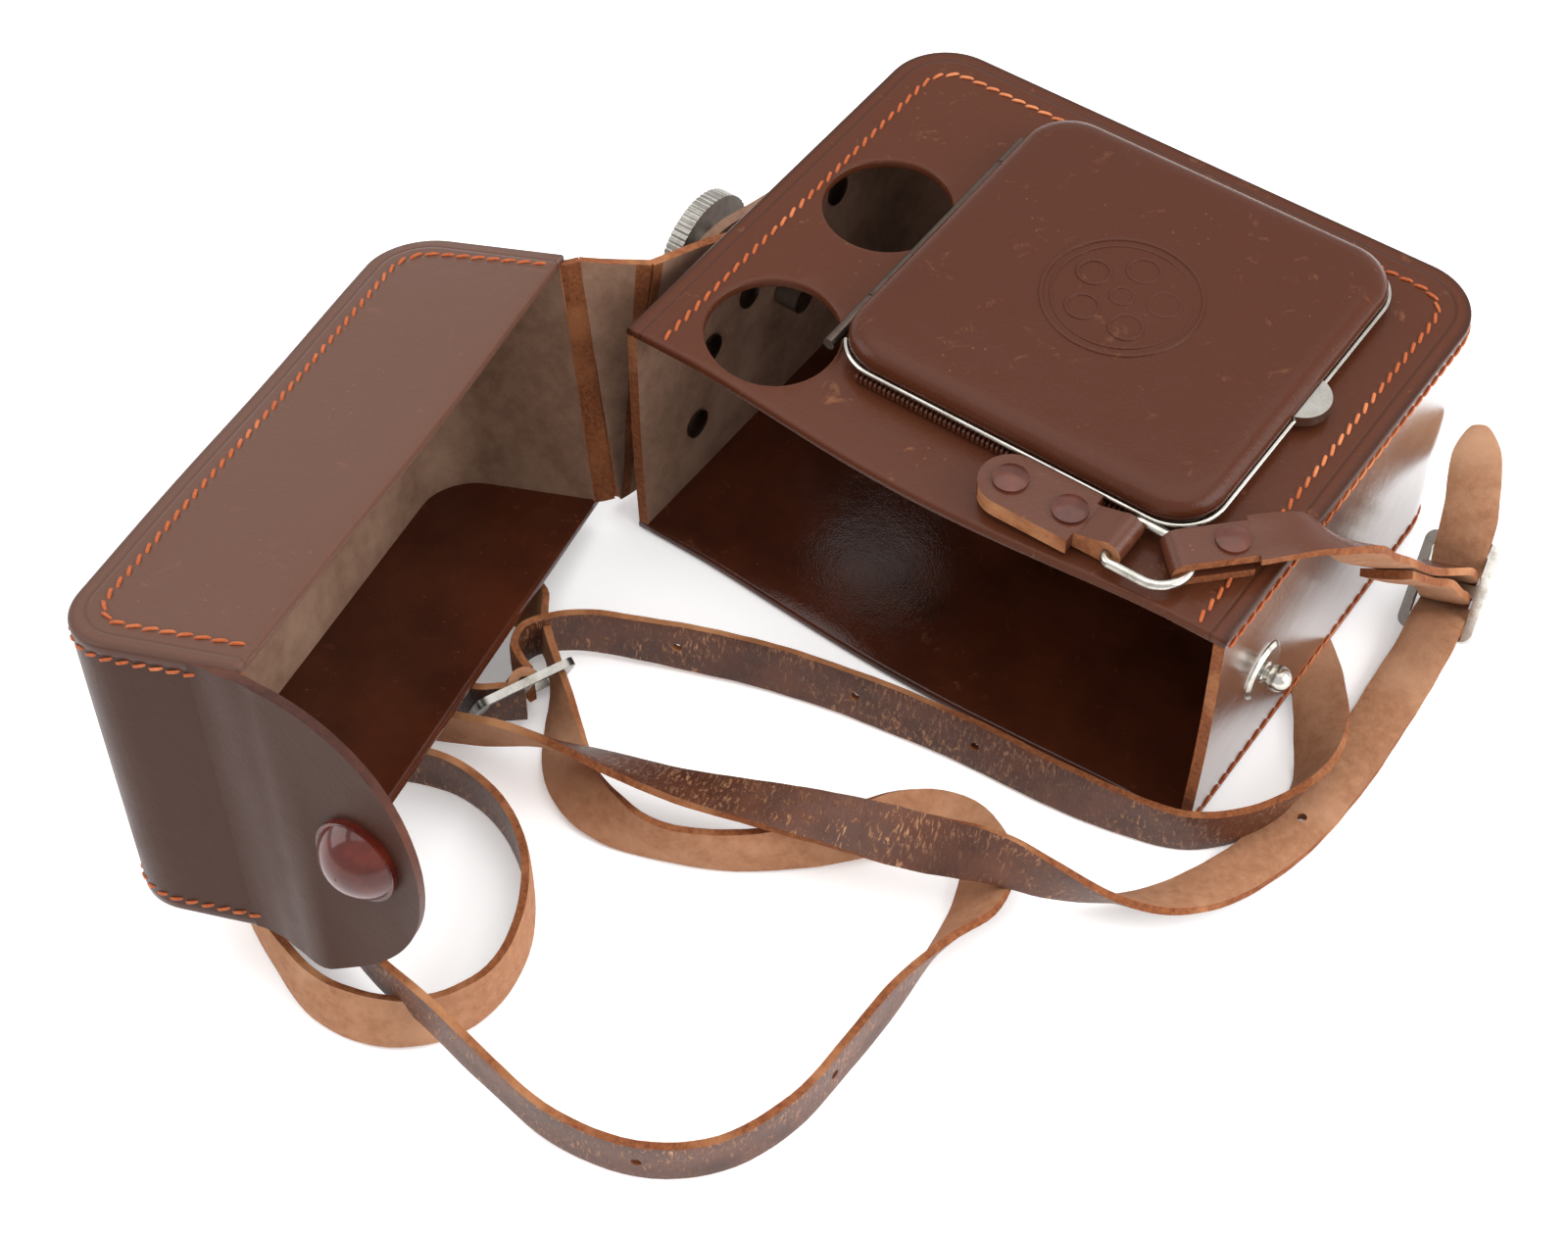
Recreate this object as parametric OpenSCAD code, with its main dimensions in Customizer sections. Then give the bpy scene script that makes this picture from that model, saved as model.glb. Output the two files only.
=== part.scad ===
/* [Case] */
// Length of the case along its opening
case_l = 128; // [126:0.5:132]
// Depth of the case from its opening to the back
case_d = 102; // [100:0.5:106]
// Height of the case as it lies
case_h = 58; // [56:0.5:60]
// Thickness of the case leather
leather = 2.3; // [2:0.1:2.6]
// Outside radius of the upright corners
corner_r = 13; // [10:0.5:15]

/* [Lid] */
// Depth of the lid
lid_d = 36; // [34:0.5:40]
// Length of the closing flap beyond the lid
flap_l = 31; // [29:0.5:33]

/* [Openings] */
// Radius of the hole near the opening
front_hole_r = 12.6; // [11:0.1:13]
// Radius of the hole further back
rear_hole_r = 12.3; // [11:0.1:13]

/* [Door] */
// Side of the square door
door_side = 77; // [74:0.5:78]
// Height of the padded door cover
door_pad = 5; // [3:0.5:6]

/* [Strap] */
// Width of the strap
strap_w = 10.5; // [9.5:0.1:11]
// Thickness of the strap
strap_t = 1.8; // [1.6:0.1:2]

/* [Hidden] */

$fn = 96;
// Smallest gap left between parts that move past each other
gap = 0.05;
// Space left between the lid's rim and the case when it is shut
rim_gap = 0.15;
// Lid as it lies open: where its hinge corner is, and how it is turned
lid_at = [-7.137, -2.897, 5.61];
lid_turn = [-8.483, -11.91, -73.152];
// Middle height of the walls
mid_h = case_h / 2;
// Centre of each round hole
front_hole = [22.6, 15.4];
rear_hole = [21.2, 55.5];
// Centre of the door and the clear opening under it
door_at = [74.4, 53.4];
door_clear = 64;
// Line of the door hinge
door_hinge_x = 34;
door_hinge_z = case_h + 1.5;
// Press stud on the right wall
stud_y = 20;
// Tripod screw on the left wall, with a thin neck that keeps it captive
tripod_y = 47;
tripod_z = 31;
tripod_r = 3.15;
neck_r = 2.4;
// Wire ring that joins the tab to the billet
wire_r = 0.95;
ring_z = case_h + 2.75;
ring_bar_x = 102.3;
ring_y = 7;
ring_r = 5.65;
ring_arc_x = 110.4;
// Middle and turn of each slide buckle
long_buckle_at = [142.3, 75.2, 7.4];
long_buckle_turn = [30, -10, 6];
short_buckle_at = [10.3, -50, 7.7];
short_buckle_turn = [0, 118, -23];
// Slide buckle
buckle_w = 15;
buckle_l = 20.5;
buckle_t = 1.6;
buckle_bar = 2.4;
window_w = 11.2;

// Routes of the straps: x, y, height of the middle, and the roll of the grain side about the run
billet_route = [[122.18, 18.78, 62.61, 90], [126, 22.6, 62.7, 92], [129.8, 26, 62.4, 100],
    [132.9, 29.6, 59.8, 112], [134.6, 34.5, 53.8, 120], [135.2, 42, 44.2, 122], [136.4, 51, 34.5, 122],
    [138.2, 60, 25, 120], [139.9, 67.6, 18.6, 118], [141.3, 74, 13.6, 115], [141.9, 77.1, 8.5, 114]];
billet_return_route = [[137.1, 49.6, 33.2, 122], [138.9, 58.6, 23.7, 120], [140.6, 66, 17.3, 118],
    [142.1, 70.3, 11.4, 115], [142.7, 73.3, 6.3, 114]];
long_route = [[130.6, 107.5, 16.8, -100], [133.4, 100.5, 18, -100], [136.6, 93, 17.6, -101],
    [139.2, 87, 16, -101], [140.6, 82.6, 13.2, -101], [141.5, 80, 8.8, -101], [142.7, 77.2, 3.9, -101],
    [143.3, 72.3, 3.4, -101], [143.9, 67, 4.8, -101], [144.4, 61.5, 3.2, -98], [144.7, 52, 1.6, -93],
    [145.2, 40, 1.4, -92], [145.3, 28, 1.4, -92], [144.6, 16, 1.5, -93], [142.4, 3, 1.8, -97],
    [138.3, -9, 2.8, -106], [132.5, -18.5, 4.6, -124], [125, -25, 7, -150], [116, -29.3, 10, -180],
    [105.5, -33, 13, -205], [93, -38.5, 13.8, -235], [79, -43, 13.6, -262], [65, -47.8, 13, -280],
    [51, -52.9, 12.8, -296], [39, -56.2, 13.2, -308], [28.6, -58.4, 13.2, -324], [18, -60.6, 11.4, -338],
    [7.5, -63.2, 7.6, -350], [-3, -66, 5.8, -358], [-14, -67.5, 5.5, -360], [-22, -71.5, 5.5, -360],
    [-24, -78, 5.5, -360], [-18, -83, 5.5, -360], [-9, -80.5, 5.5, -360], [1, -75, 5.5, -360],
    [12, -71.5, 5.5, -360], [24, -73, 5.5, -360], [35, -79.5, 5.5, -360], [43, -90, 5.5, -364],
    [46, -102, 5.5, -366], [42.5, -112.6, 5.5, -374], [34, -119.6, 5.4, -382], [22.5, -122.2, 5.5, -376],
    [10.5, -119.3, 5.5, -366], [-1.5, -114, 5.5, -362], [-9, -105, 5.5, -360], [-6.5, -96, 5.5, -360],
    [2, -94.5, 5.8, -360], [10, -102, 8, -360], [19, -110, 10.8, -360], [30.5, -114.4, 12.6, -360],
    [43, -115.8, 12.2, -360], [57, -117.2, 8.4, -360], [72, -118, 5.8, -360], [87, -114.5, 5.5, -360],
    [98, -105.5, 5.5, -360], [103.5, -92, 5.5, -360], [104.5, -77, 5.5, -360], [104.8, -63, 5.5, -362],
    [105.6, -50, 5.4, -383], [106, -38.5, 4, -414], [102, -28.5, 3.2, -425], [94, -24.8, 3.2, -425],
    [85.8, -29, 4, -414], [79.5, -38, 5, -395], [72.5, -47.5, 5.6, -374], [62.3, -56, 5.5, -364],
    [49.6, -61.6, 5.5, -364], [36.3, -61.6, 4.7, -404], [27, -57.2, 4, -414], [18.7, -49.1, 5.2, -390],
    [12, -42, 5.5, -366], [4.5, -35.8, 5.5, -364], [-2.5, -31.5, 4.9, -398], [-9.5, -32.2, 4.4, -408],
    [-13.5, -38, 4.4, -408], [-12.5, -46, 5, -395], [-7.5, -52.5, 5.8, -360], [-1, -56.6, 6.6, -360],
    [5, -57, 7.4, -360], [9.4, -54, 7.7, -360], [12.6, -51.4, 7.7, -360]];
short_route = [[106, 63.2, 1.1, 270], [114, 58.2, 1.1, 270], [122, 52.8, 1.1, 270],
    [128.6, 46.6, 1.7, 266], [134, 39.5, 2.9, 254], [138.6, 31, 4.3, 238], [141.6, 22, 5.2, 212],
    [140.8, 12.5, 5.5, 192], [136.2, 3.6, 5.5, 184], [128.2, -3.4, 5.5, 180], [116, -6.6, 5.5, 172],
    [102, -8.3, 5.5, 167], [87, -9.2, 5.5, 166], [72, -11, 5.5, 166], [57, -13.6, 5.5, 166],
    [43, -17.2, 5.6, 166], [31, -21.6, 5.9, 167], [20.5, -26.2, 6.4, 171], [12, -30.4, 6.9, 176],
    [6.4, -35.2, 7.4, 180], [3.6, -40.2, 7.7, 180], [4.6, -44.6, 7.7, 180], [7.8, -46.8, 7.7, 180],
    [11.1, -48, 7.7, 180]];

// Strap geometry: a flat band carried along a route
function unit(v) = v / norm(v);
function spot(route, i) = [route[i][0], route[i][1], route[i][2]];
function run(route, i) = unit(spot(route, min(i + 1, len(route) - 1)) - spot(route, max(i - 1, 0)));
function side(route, i) = unit(cross(run(route, i), [0, 0, 1]));
function rise(route, i) = cross(side(route, i), run(route, i));
function across(route, i) = cos(route[i][3]) * rise(route, i) - sin(route[i][3]) * side(route, i);
function grain(route, i) = cos(route[i][3]) * side(route, i) + sin(route[i][3]) * rise(route, i);
function band_section(w, t, c) = [[w - c, t], [w, t - c], [w, c - t], [w - c, -t],
    [c - w, -t], [-w, c - t], [-w, t - c], [c - w, t]];

module band(route, width) {
    section = band_section(width / 2, strap_t / 2, 0.4);
    n = len(section);
    rings = len(route);
    points = [for (i = [0 : rings - 1]) for (p = section)
        spot(route, i) + p[0] * across(route, i) + p[1] * grain(route, i)];
    walls = [for (i = [0 : rings - 2]) for (k = [0 : n - 1])
        [i * n + k, i * n + (k + 1) % n, (i + 1) * n + (k + 1) % n, (i + 1) * n + k]];
    start = [for (k = [n - 1 : -1 : 0]) k];
    finish = [for (k = [0 : n - 1]) (rings - 1) * n + k];
    polyhedron(points = points, faces = concat([start], walls, [finish]), convexity = 10);
}

// Plain shapes
module rounded_square(side_x, side_y, r) {
    translate([-side_x / 2 + r, -side_y / 2 + r]) {
        square([side_x - 2 * r, side_y - 2 * r]);
        translate([-r, 0]) square([side_x, side_y - 2 * r]);
        translate([0, -r]) square([side_x - 2 * r, side_y]);
        for (x = [0, side_x - 2 * r], y = [0, side_y - 2 * r])
            translate([x, y]) circle(r);
    }
}

// Outline with two rounded corners at the far side and square ones at the opening
module shell_outline(length, depth, r) {
    square([length, depth - r]);
    translate([r, 0]) square([length - 2 * r, depth]);
    translate([r, depth - r]) circle(r);
    translate([length - r, depth - r]) circle(r);
}

module shell_wall(length, depth, r) {
    difference() {
        shell_outline(length, depth, r);
        translate([leather, -1])
            shell_outline(length - 2 * leather, depth - leather + 1, r - leather);
    }
}

module place_lid() {
    translate(lid_at)
        rotate([0, lid_turn[1], 0])
        rotate([lid_turn[0], 0, 0])
        rotate([0, 0, lid_turn[2]])
        children();
}

module place_buckle(at, turn) {
    translate(at) rotate(turn) children();
}

module quarter_bend(r, wire) {
    rotate_extrude(angle = 90) translate([r, 0]) circle(wire, $fn = 32);
}

module half_bend(r, wire) {
    rotate_extrude(angle = 180) translate([r, 0]) circle(wire, $fn = 32);
}

module wire_rod(length, wire) {
    rotate([0, 90, 0]) cylinder(r = wire, h = length, $fn = 32);
}

module slide_buckle() {
    bar_y = buckle_bar / 2;
    window_l = (buckle_l - 3 * buckle_bar) / 2;
    translate([0, 0, -buckle_t / 2]) difference() {
        linear_extrude(buckle_t) rounded_square(buckle_w, buckle_l, 2.2);
        for (s = [0, 1]) mirror([0, s, 0])
            translate([0, bar_y + window_l / 2, -1])
                linear_extrude(buckle_t + 2) rounded_square(window_w, window_l, 1);
    }
}

// Fold of strap round the middle bar of a buckle, open towards the strap
module strap_bend(width) {
    inner = 1.5;
    translate([-width / 2, 0, 0]) rotate([90, 0, 90]) linear_extrude(width) difference() {
        circle(inner + strap_t, $fn = 48);
        circle(inner, $fn = 48);
        translate([-10, 0]) square([20, 10]);
    }
}

module rivet_head(r, h) {
    cylinder(r = r, h = h * 0.45, $fn = 40);
    intersection() {
        translate([0, 0, h - (r * r + h * h * 0.3025) / (1.1 * h)])
            sphere((r * r + h * h * 0.3025) / (1.1 * h), $fn = 48);
        translate([0, 0, h * 0.45]) cylinder(r = r, h = h, $fn = 40);
    }
}

// Case shell
module top_panel() {
    color("saddlebrown") translate([0, 0, case_h - leather]) difference() {
        linear_extrude(leather) shell_outline(case_l, case_d, corner_r);
        translate([front_hole[0], front_hole[1], -1]) cylinder(r = front_hole_r, h = leather + 2);
        translate([rear_hole[0], rear_hole[1], -1]) cylinder(r = rear_hole_r, h = leather + 2);
        translate([door_at[0], door_at[1], -1])
            linear_extrude(leather + 2) rounded_square(door_clear, door_clear, 6);
    }
}

module strap_slot() {
    translate([106, 63.2]) rotate(-36) translate([-6.5, -6.6]) square([50, 13.2]);
}

module bottom_panel() {
    color("sienna") difference() {
        linear_extrude(leather) shell_outline(case_l, case_d, corner_r);
        translate([0, 0, -1]) linear_extrude(leather + 2) strap_slot();
    }
}

wall_rivet_spots = [[17.2, 17.4], [22.5, 34.5], [35.4, 39.1], [65.8, 43.5]];

module case_band() {
    color("peru") difference() {
        translate([0, 0, leather]) linear_extrude(case_h - 2 * leather)
            shell_wall(case_l, case_d, corner_r);
        translate([case_l - 5, stud_y, mid_h]) rotate([0, 90, 0]) cylinder(r = 1.25, h = 10);
        translate([-5, tripod_y, tripod_z]) rotate([0, 90, 0]) cylinder(r = neck_r + 0.3, h = 10);
        for (p = wall_rivet_spots)
            translate([-5, p[0], p[1]]) rotate([0, 90, 0]) cylinder(r = 0.9, h = 10);
    }
}

module wall_rivets() {
    color("silver") for (p = wall_rivet_spots)
        translate([leather, p[0], p[1]]) rotate([0, 90, 0]) {
            rivet_head(3.1, 1.2);
            translate([0, 0, -leather + 0.05]) cylinder(r = 0.88, h = leather, $fn = 32);
        }
}

module press_stud() {
    color("gainsboro") translate([case_l, stud_y, mid_h]) rotate([0, 90, 0]) {
        rotate_extrude() polygon([[0, -leather], [1.2, -leather], [1.2, 0], [6.1, 0], [6.1, 0.4], [5.4, 1],
            [2.2, 1], [1.7, 1.4], [1.7, 2.2], [0, 2.2]]);
        translate([0, 0, 3.6]) sphere(2.5, $fn = 48);
    }
}

module stud_backing() {
    color("gray") translate([case_l - leather - 0.9, stud_y, mid_h]) rotate([0, 90, 0])
        cylinder(r = 4.6, h = 0.9, $fn = 48);
}

// Door over the camera's side
module door_frame() {
    color("silver") translate([door_at[0], door_at[1], case_h]) difference() {
        linear_extrude(1.3) rounded_square(76.6, 76.6, 9);
        translate([0, 0, -1]) linear_extrude(4) rounded_square(door_clear, door_clear, 6);
    }
}

module door_hinge_pin() {
    color("darkgray") {
        for (y = [17, 75.9])
            translate([door_hinge_x, y, door_hinge_z]) rotate([-90, 0, 0])
                cylinder(r = 1.2, h = y == 17 ? 14 : 8, $fn = 32);
        translate([door_hinge_x, 31, door_hinge_z]) rotate([-90, 0, 0])
            cylinder(r = 0.6, h = 45, $fn = 32);
        for (y = [26, 75.9])
            translate([door_hinge_x, y, case_h]) cube([door_at[0] - 38.3 - door_hinge_x, 5, 0.9]);
    }
}

module door_hinge_tube() {
    color("silver") translate([door_hinge_x, 31.2, door_hinge_z]) difference() {
        union() {
            rotate([-90, 0, 0]) cylinder(r = 1.2, h = 44.5, $fn = 32);
            translate([0.4, 0, 0.1]) cube([door_at[0] - door_side / 2 + 0.6 - door_hinge_x - 0.4, 44.5, 1]);
        }
        translate([0, -1, 0]) rotate([-90, 0, 0]) cylinder(r = 0.6 + gap, h = 47, $fn = 32);
    }
}

module door_pan() {
    color("silver") translate([door_at[0], door_at[1], case_h + 1.6])
        linear_extrude(1.1) rounded_square(door_side - 1.2, door_side - 1.2, 9.2);
}

module door_cover() {
    color("brown") translate([door_at[0], door_at[1], case_h + 2.7]) hull() {
        linear_extrude(door_pad * 0.6) rounded_square(door_side + 1.2, door_side + 1.2, 10);
        linear_extrude(door_pad * 0.88) rounded_square(door_side - 0.8, door_side - 0.8, 9);
        linear_extrude(door_pad) rounded_square(door_side - 4, door_side - 4, 7.5);
    }
}

module door_latch() {
    color("gainsboro") translate([door_at[0] + door_side / 2 + 0.6, 54.2, case_h + 1.7]) intersection() {
        translate([-1.4, 0, 0]) cylinder(r = 5.6, h = 2.3);
        translate([0, -10, 0]) cube([10, 20, 5]);
    }
}

// Tab that holds the strap ring
tab_y = 7;

module ring_tab() {
    color("chocolate") difference() {
        intersection() {
            translate([0, 20, 0]) rotate([90, 0, 0]) linear_extrude(20) {
                translate([70, case_h]) square([ring_bar_x - 70, 1.8]);
                translate([70, case_h + 1.8]) square([26, 1.8]);
                polygon([[96, case_h + 1.8], [96, case_h + 3.6], [ring_bar_x, case_h + 5.5],
                    [ring_bar_x, case_h + 1.8]]);
                translate([ring_bar_x, ring_z]) circle(2.75, $fn = 48);
            }
            translate([0, 0, case_h - 1]) linear_extrude(10) {
                translate([80.4, tab_y]) circle(6.2);
                translate([80.4, tab_y - 6.2]) square([15, 12.4]);
                translate([80.4, tab_y - 4]) square([30, 8]);
            }
        }
        translate([ring_bar_x, -1, ring_z]) rotate([-90, 0, 0])
            cylinder(r = wire_r + gap, h = 20, $fn = 32);
    }
}

module ring_tab_rivets() {
    color("silver") for (x = [80, 92.3])
        translate([x, tab_y, case_h + 3.6]) rivet_head(3.3, 1.3);
}

module strap_ring() {
    corner = 1.6;
    half_y = ring_r;
    color("gainsboro") translate([0, ring_y, ring_z]) {
        translate([ring_bar_x, corner - half_y, 0]) rotate([0, 0, 90]) wire_rod(2 * (half_y - corner), wire_r);
        for (s = [0, 1]) mirror([0, s, 0]) {
            translate([ring_bar_x + corner, corner - half_y, 0]) rotate(180) quarter_bend(corner, wire_r);
            translate([ring_bar_x + corner, -half_y, 0])
                wire_rod(ring_arc_x - ring_bar_x - corner, wire_r);
        }
        translate([ring_arc_x, 0, 0]) rotate(-90) half_bend(half_y, wire_r);
    }
}

// Short billet: folded round the ring at one end and round the slide buckle at the other
billet_az = 45;

module place_billet() {
    translate([ring_arc_x + ring_r * cos(billet_az), ring_y + ring_r * sin(billet_az), 0])
        rotate(billet_az) children();
}

module billet_loop() {
    bend_x = -1.75;
    color("sienna") place_billet() translate([0, 4, 0]) rotate([90, 0, 0]) linear_extrude(8) difference() {
        union() {
            translate([bend_x, ring_z]) circle(2.75, $fn = 48);
            translate([bend_x, case_h + 0.02]) square([12.3, 1.76]);
            translate([bend_x, ring_z + 0.97]) square([12.75, 1.78]);
        }
        translate([bend_x, ring_z]) circle(0.97, $fn = 48);
        translate([bend_x, ring_z - 0.97]) square([20, 1.94]);
    }
}

module billet_rivet() {
    color("silver") place_billet() {
        translate([7.2, 0, case_h + 5.5]) rivet_head(3.1, 1.2);
        translate([7.2, 0, case_h + 1.79]) cylinder(r = 1.1, h = 1.92, $fn = 32);
    }
}

module billet() {
    color("sienna") band(billet_route, strap_w - 0.5);
}

module billet_return() {
    color("peru") band(billet_return_route, strap_w - 0.5);
}

module buckle_long() {
    color("silver") place_buckle(long_buckle_at, long_buckle_turn) slide_buckle();
}

module billet_bend() {
    color("sienna") place_buckle(long_buckle_at, long_buckle_turn) strap_bend(strap_w - 0.5);
}

module long_strap() {
    color("burlywood") band(long_route, strap_w);
}

module short_strap() {
    color("tan") band(short_route, strap_w);
}

module buckle_short() {
    color("silver") place_buckle(short_buckle_at, short_buckle_turn) slide_buckle();
}

module short_bend() {
    color("tan") place_buckle(short_buckle_at, short_buckle_turn) strap_bend(strap_w);
}

// Patch inside the case that holds the end of the short strap
module anchor_patch() {
    color("chocolate") translate([0, 0, leather]) difference() {
        translate([111.6, 57]) linear_extrude(1.8) rounded_square(28, 32, 4);
        translate([109.6, 60.9, -1]) cylinder(r = 1, h = 4, $fn = 32);
    }
}

module anchor_rivet() {
    color("silver") {
        translate([109.6, 60.9, 0.15]) cylinder(r = 0.95, h = leather + 1.8, $fn = 32);
        translate([109.6, 60.9, leather + 1.8]) rivet_head(3.1, 1.2);
    }
}

// Leather hinge and base leaf on the left wall
module corner_slab(a, b, c, d, t) {
    hull() for (p = [a, b, c, d]) translate(p) cube(t, center = true);
}

module hinge_tail() {
    color("peru") corner_slab([-1.15, 28, 5], [-1.15, 32, 53], [-5.6, 6.2, 4], [-4.6, 20, 54], 2);
}

function leaf_x(y) = -leather - 8.4 * pow(max(0, (68 - y) / 38), 1.5);

module base_leaf() {
    ys = [for (k = [0 : 19]) 30 + k * 2];
    outline = concat([for (y = ys) [leaf_x(y), y]], [for (k = [19 : -1 : 0]) [leaf_x(ys[k]) + 2.2, ys[k]]]);
    color("chocolate") difference() {
        intersection() {
            linear_extrude(case_h) polygon(outline);
            translate([5, 49, 30]) rotate([0, -90, 0]) linear_extrude(30) rounded_square(40, 38, 12);
        }
        translate([-20, tripod_y, tripod_z]) rotate([0, 90, 0]) cylinder(r = neck_r + 0.3, h = 30);
    }
}

module tripod_screw() {
    knob_r = 12.5;
    teeth = 60;
    color("silver") translate([-19.5, tripod_y, tripod_z]) rotate([0, 90, 0]) {
        difference() {
            cylinder(r = knob_r, h = 3.6);
            for (k = [0 : teeth - 1]) rotate(k * 360 / teeth)
                translate([knob_r + 0.25, 0, -1]) cylinder(r = 0.5, h = 6, $fn = 8);
        }
        translate([0, 0, 3.6]) cylinder(r = 5, h = 2.6);
        translate([0, 0, 6.2]) cylinder(r = neck_r, h = 16);
        translate([0, 0, 22.1]) cylinder(r = tripod_r, h = 5);
    }
}

module tripod_washer() {
    color("gray") translate([-8.3, tripod_y, tripod_z]) rotate([0, 90, 0]) difference() {
        cylinder(r = 6.4, h = 0.8);
        translate([0, 0, -1]) cylinder(r = neck_r + 0.3, h = 3);
    }
}

module hinge_spine() {
    color("peru") corner_slab([-8.1, 1.7, 4], [-7.2, 15.6, 57], [-9.3, 0.6, 7.2], [-19.6, 7.9, 57.6], 1.7);
}

// Lid, drawn closed with its hinge corner at the origin and its depth along -Y
module fold_strip() {
    color("peru") place_lid() translate([-1.95, -2.35, 1]) cube([1.5, 1.5, case_h - 2]);
}

module lid_outline() {
    translate([0, -rim_gap]) mirror([0, 1, 0]) shell_outline(case_l, lid_d - rim_gap, corner_r - 1);
}

module lid_top_panel() {
    color("saddlebrown") place_lid() translate([0, 0, case_h - leather]) linear_extrude(leather) lid_outline();
}

module lid_bottom_panel() {
    color("sienna") place_lid() linear_extrude(leather) lid_outline();
}

module lid_band() {
    color("peru") place_lid() translate([0, 0, leather]) linear_extrude(case_h - 2 * leather)
        translate([0, -rim_gap]) mirror([0, 1, 0]) shell_wall(case_l, lid_d - rim_gap, corner_r - 1);
}

flap_out = case_l + gap;
flap_root_y = -1.55;
// How far the flap springs away from the wall when it hangs free
flap_lean = 12;

// The flap hinges on its outer face, where the leather folds when it is pulled open
module lean_flap() {
    place_lid()
        translate([case_l + 2.2, flap_root_y, 0])
        rotate(-flap_lean)
        translate([-case_l - 2.2, -flap_root_y, 0])
        children();
}

module flap_root() {
    color("saddlebrown") place_lid() translate([case_l, -9, 3]) cube([2.15, 9 + flap_root_y - 0.15, case_h - 6]);
}

module flap() {
    half = mid_h - 1;
    tongue = [for (k = [0 : 48]) [flap_l * sin(k * 180 / 48), mid_h + half * cos(k * 180 / 48)]];
    outline = concat([[flap_root_y + 0.15, mid_h + half]], tongue, [[flap_root_y + 0.15, mid_h - half]]);
    color("saddlebrown") lean_flap() difference() {
        translate([flap_out, 0, 0]) rotate([90, 0, 90]) linear_extrude(2.1) polygon(outline);
        translate([flap_out - 1, stud_y, mid_h]) rotate([0, 90, 0]) cylinder(r = 6.5, h = 5);
    }
}

module snap_cap() {
    cap_r = 7.75;
    color("firebrick") lean_flap() translate([flap_out + 2.1, stud_y, mid_h]) rotate([0, 90, 0]) {
        rotate_extrude() difference() {
            union() {
                square([cap_r, 1.4]);
                intersection() {
                    translate([0, -2.2]) circle(8.1);
                    translate([0, 1.4]) square([cap_r, 8]);
                }
            }
            translate([-1, -1]) square([4.4, 5.2]);
        }
    }
}

module snap_socket() {
    color("gold") lean_flap() translate([flap_out + 2.15, stud_y, mid_h]) rotate([0, 90, 0]) difference() {
        cylinder(r = 3.35, h = 1.5, $fn = 48);
        translate([0, 0, -1]) cylinder(r = 2.58, h = 4, $fn = 48);
    }
}

top_panel();
bottom_panel();
case_band();
door_frame();
door_hinge_pin();
door_hinge_tube();
door_pan();
door_cover();
door_latch();
ring_tab();
ring_tab_rivets();
strap_ring();
billet_loop();
billet_rivet();
billet();
billet_return();
buckle_long();
billet_bend();
long_strap();
short_strap();
buckle_short();
short_bend();
anchor_patch();
anchor_rivet();
press_stud();
stud_backing();
wall_rivets();
hinge_tail();
base_leaf();
tripod_screw();
tripod_washer();
hinge_spine();
fold_strip();
lid_top_panel();
lid_bottom_panel();
lid_band();
flap_root();
flap();
snap_cap();
snap_socket();
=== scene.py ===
import math
import random

import bmesh
import bpy
from mathutils import Euler, Matrix, Vector


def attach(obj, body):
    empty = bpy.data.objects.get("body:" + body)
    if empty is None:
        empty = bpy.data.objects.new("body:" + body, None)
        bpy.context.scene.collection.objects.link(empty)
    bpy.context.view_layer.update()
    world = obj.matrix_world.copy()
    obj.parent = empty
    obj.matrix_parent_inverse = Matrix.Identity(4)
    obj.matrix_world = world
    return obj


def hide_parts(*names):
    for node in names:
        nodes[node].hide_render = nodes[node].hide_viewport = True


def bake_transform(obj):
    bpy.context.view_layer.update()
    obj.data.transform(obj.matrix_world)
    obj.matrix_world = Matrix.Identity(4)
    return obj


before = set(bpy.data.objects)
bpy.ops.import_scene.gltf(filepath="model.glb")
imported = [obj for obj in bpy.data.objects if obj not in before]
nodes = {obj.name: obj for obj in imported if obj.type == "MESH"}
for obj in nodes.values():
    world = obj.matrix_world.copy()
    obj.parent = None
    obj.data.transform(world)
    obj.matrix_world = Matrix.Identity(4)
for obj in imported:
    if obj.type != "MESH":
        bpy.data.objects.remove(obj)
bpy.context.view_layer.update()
MM = 0.001
scene = bpy.context.scene
scene.view_settings.view_transform = "Standard"

# ---------------------------------------------------------------- camera
camera_data = bpy.data.cameras.new("camera")
camera_data.sensor_width = 36
camera_data.lens = 63.69
camera_data.clip_start = 0.01
camera = bpy.data.objects.new("camera", camera_data)
camera.location = Vector((233.70, -277.65, 430.64)) * MM
camera.rotation_euler = Euler((math.radians(38.16), 0, math.radians(35.45)))
scene.collection.objects.link(camera)
scene.camera = camera

# ---------------------------------------------------------------- shared sizes, in mm and degrees
CASE_L, CASE_D, CASE_H = 128.0, 102.0, 58.0
CASE_R = 13
LID_D = 36.0
LID_R = 12
THICK = 2.3
WALL_THICK = 2.2
WALL_LOW, WALL_HIGH = 1.3, CASE_H - 1.3
DOOR_X, DOOR_Y = 74.4, 53.4
LID = (
    Matrix.Translation(Vector((-7.137, -2.897, 5.610)) * MM)
    @ Matrix.Rotation(math.radians(-11.910), 4, "Y")
    @ Matrix.Rotation(math.radians(-8.483), 4, "X")
    @ Matrix.Rotation(math.radians(-73.152), 4, "Z")
)
WORLD = Matrix.Identity(4)
rng = random.Random(7)


# ---------------------------------------------------------------- materials
def srgb(r, g, b):
    """A colour of 0 to 255 as the linear values that Blender's nodes take."""
    def lin(c):
        c /= 255
        return c / 12.92 if c <= 0.04045 else ((c + 0.055) / 1.055) ** 2.4

    return (lin(r), lin(g), lin(b), 1)


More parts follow.
